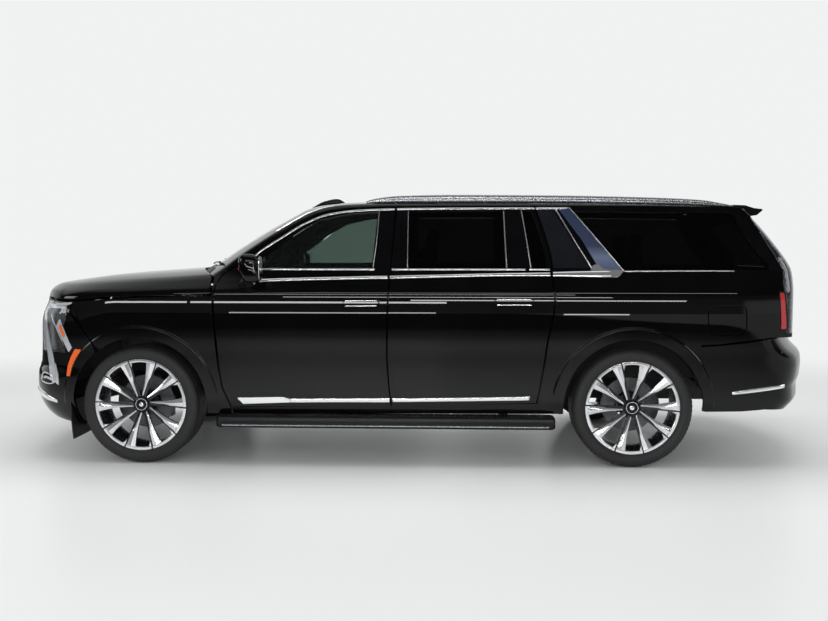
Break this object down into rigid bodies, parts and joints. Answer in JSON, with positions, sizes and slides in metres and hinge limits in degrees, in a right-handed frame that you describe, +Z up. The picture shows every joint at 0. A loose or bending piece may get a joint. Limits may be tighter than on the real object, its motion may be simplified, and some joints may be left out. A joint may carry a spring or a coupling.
{
  "type": "full-size sport utility vehicle",
  "caption": "Long black sport utility vehicle with hinged doors, clamshell bonnet and liftgate, steered front wheels, running boards and roof rails.",
  "frame": {"origin": "on the floor at mid-length and mid-width", "axes": "+X aft, so the front faces -X; +Y to the vehicle's right; +Z up"},
  "size_m": [5.787, 2.37, 1.8819],
  "materials": {
    "paint": "gloss",
    "chrome_trim": "polished",
    "black_plastic": "matte",
    "clear_glass": "gloss",
    "dark_glass": "gloss",
    "lamp_front": "gloss",
    "lamp_rear": "gloss",
    "tyre_rubber": "matte",
    "wheel_metal": "polished",
    "frame_metal": "satin",
    "cast_metal": "rough",
    "engine_metal": "satin",
    "seat_leather": "matte",
    "interior_plastic": "matte"
  },
  "bodies": {
    "body": {"front_fenders": "paint", "front_bumper": "paint", "headlamps": "lamp_front", "grille": "chrome_trim", "body_sides": "paint", "tail_lamps": "lamp_rear", "roof_panel": "paint", "fixed_glass": "dark_glass", "rear_bumper": "paint", "chassis_frame": "frame_metal", "front_suspension": "cast_metal", "rear_axle": "cast_metal", "engine_block": "engine_metal", "floor_pan": "frame_metal", "dashboard": "interior_plastic", "front_seats": "seat_leather", "rear_seats": "seat_leather", "running_boards": "black_plastic", "roof_rails": "chrome_trim"},
    "hood": {"hood": "paint"},
    "liftgate": {"liftgate": "paint", "liftgate_glass": "dark_glass"},
    "steering_wheel": {"steering_wheel": "interior_plastic"},
    "door_front_left": {"door_front_left": "paint", "glass_front_left": "clear_glass", "mirror_left": "paint"},
    "door_rear_left": {"door_rear_left": "paint", "glass_rear_left": "dark_glass"},
    "knuckle_left": {"knuckle_left": "cast_metal"},
    "wheel_front_left": {"wheel_front_left": "wheel_metal", "tyre_front_left": "tyre_rubber"},
    "wheel_rear_left": {"wheel_rear_left": "wheel_metal", "tyre_rear_left": "tyre_rubber"},
    "door_front_right": {"door_front_right": "paint", "glass_front_right": "clear_glass", "mirror_right": "paint"},
    "door_rear_right": {"door_rear_right": "paint", "glass_rear_right": "dark_glass"},
    "knuckle_right": {"knuckle_right": "cast_metal"},
    "wheel_front_right": {"wheel_front_right": "wheel_metal", "tyre_front_right": "tyre_rubber"},
    "wheel_rear_right": {"wheel_rear_right": "wheel_metal", "tyre_rear_right": "tyre_rubber"}
  },
  "joints": [
    {"name": "bonnet_hinge", "type": "hinge", "parent": "body", "child": "hood", "pos_m": [-1.3485, 0, 1.33], "axis": [0, 1, 0], "range_deg": [0, 50]},
    {"name": "liftgate_hinge", "type": "hinge", "parent": "body", "child": "liftgate", "pos_m": [2.2495, 0, 1.818], "axis": [0, -1, 0], "range_deg": [0, 75]},
    {"name": "front_door_left_hinge", "type": "hinge", "parent": "body", "child": "door_front_left", "pos_m": [-1.3305, -1.012, 1], "axis": [0, 0, -1], "range_deg": [0, 65]},
    {"name": "rear_door_left_hinge", "type": "hinge", "parent": "body", "child": "door_rear_left", "pos_m": [-0.1315, -1.012, 1], "axis": [0, 0, -1], "range_deg": [0, 65]},
    {"name": "steer_left", "type": "hinge", "parent": "body", "child": "knuckle_left", "pos_m": [-1.8935, -0.77, 0.412], "axis": [0, 0, 1], "range_deg": [-30, 30]},
    {"name": "spin_front_left", "type": "hinge", "parent": "knuckle_left", "child": "wheel_front_left", "pos_m": [-1.8935, -0.868, 0.412], "axis": [0, 1, 0], "continuous": true},
    {"name": "spin_rear_left", "type": "hinge", "parent": "body", "child": "wheel_rear_left", "pos_m": [1.5135, -0.868, 0.412], "axis": [0, 1, 0], "continuous": true},
    {"name": "front_door_right_hinge", "type": "hinge", "parent": "body", "child": "door_front_right", "pos_m": [-1.3305, 1.012, 1], "axis": [0, 0, 1], "range_deg": [0, 65]},
    {"name": "rear_door_right_hinge", "type": "hinge", "parent": "body", "child": "door_rear_right", "pos_m": [-0.1315, 1.012, 1], "axis": [0, 0, 1], "range_deg": [0, 65]},
    {"name": "steer_right", "type": "hinge", "parent": "body", "child": "knuckle_right", "pos_m": [-1.8935, 0.77, 0.412], "axis": [0, 0, 1], "range_deg": [-30, 30]},
    {"name": "spin_front_right", "type": "hinge", "parent": "knuckle_right", "child": "wheel_front_right", "pos_m": [-1.8935, 0.868, 0.412], "axis": [0, 1, 0], "continuous": true},
    {"name": "spin_rear_right", "type": "hinge", "parent": "body", "child": "wheel_rear_right", "pos_m": [1.5135, 0.868, 0.412], "axis": [0, 1, 0], "continuous": true},
    {"name": "steering_wheel_turn", "type": "hinge", "parent": "body", "child": "steering_wheel", "pos_m": [-0.8835, -0.4, 1.09], "axis": [0.9063, 0, 0.4226], "range_deg": [-462, 462]}
  ],
  "couplings": [
    {"joint": "steer_right", "follows": "steer_left", "ratio": 1},
    {"joint": "steering_wheel_turn", "follows": "steer_left", "ratio": 15.4}
  ]
}
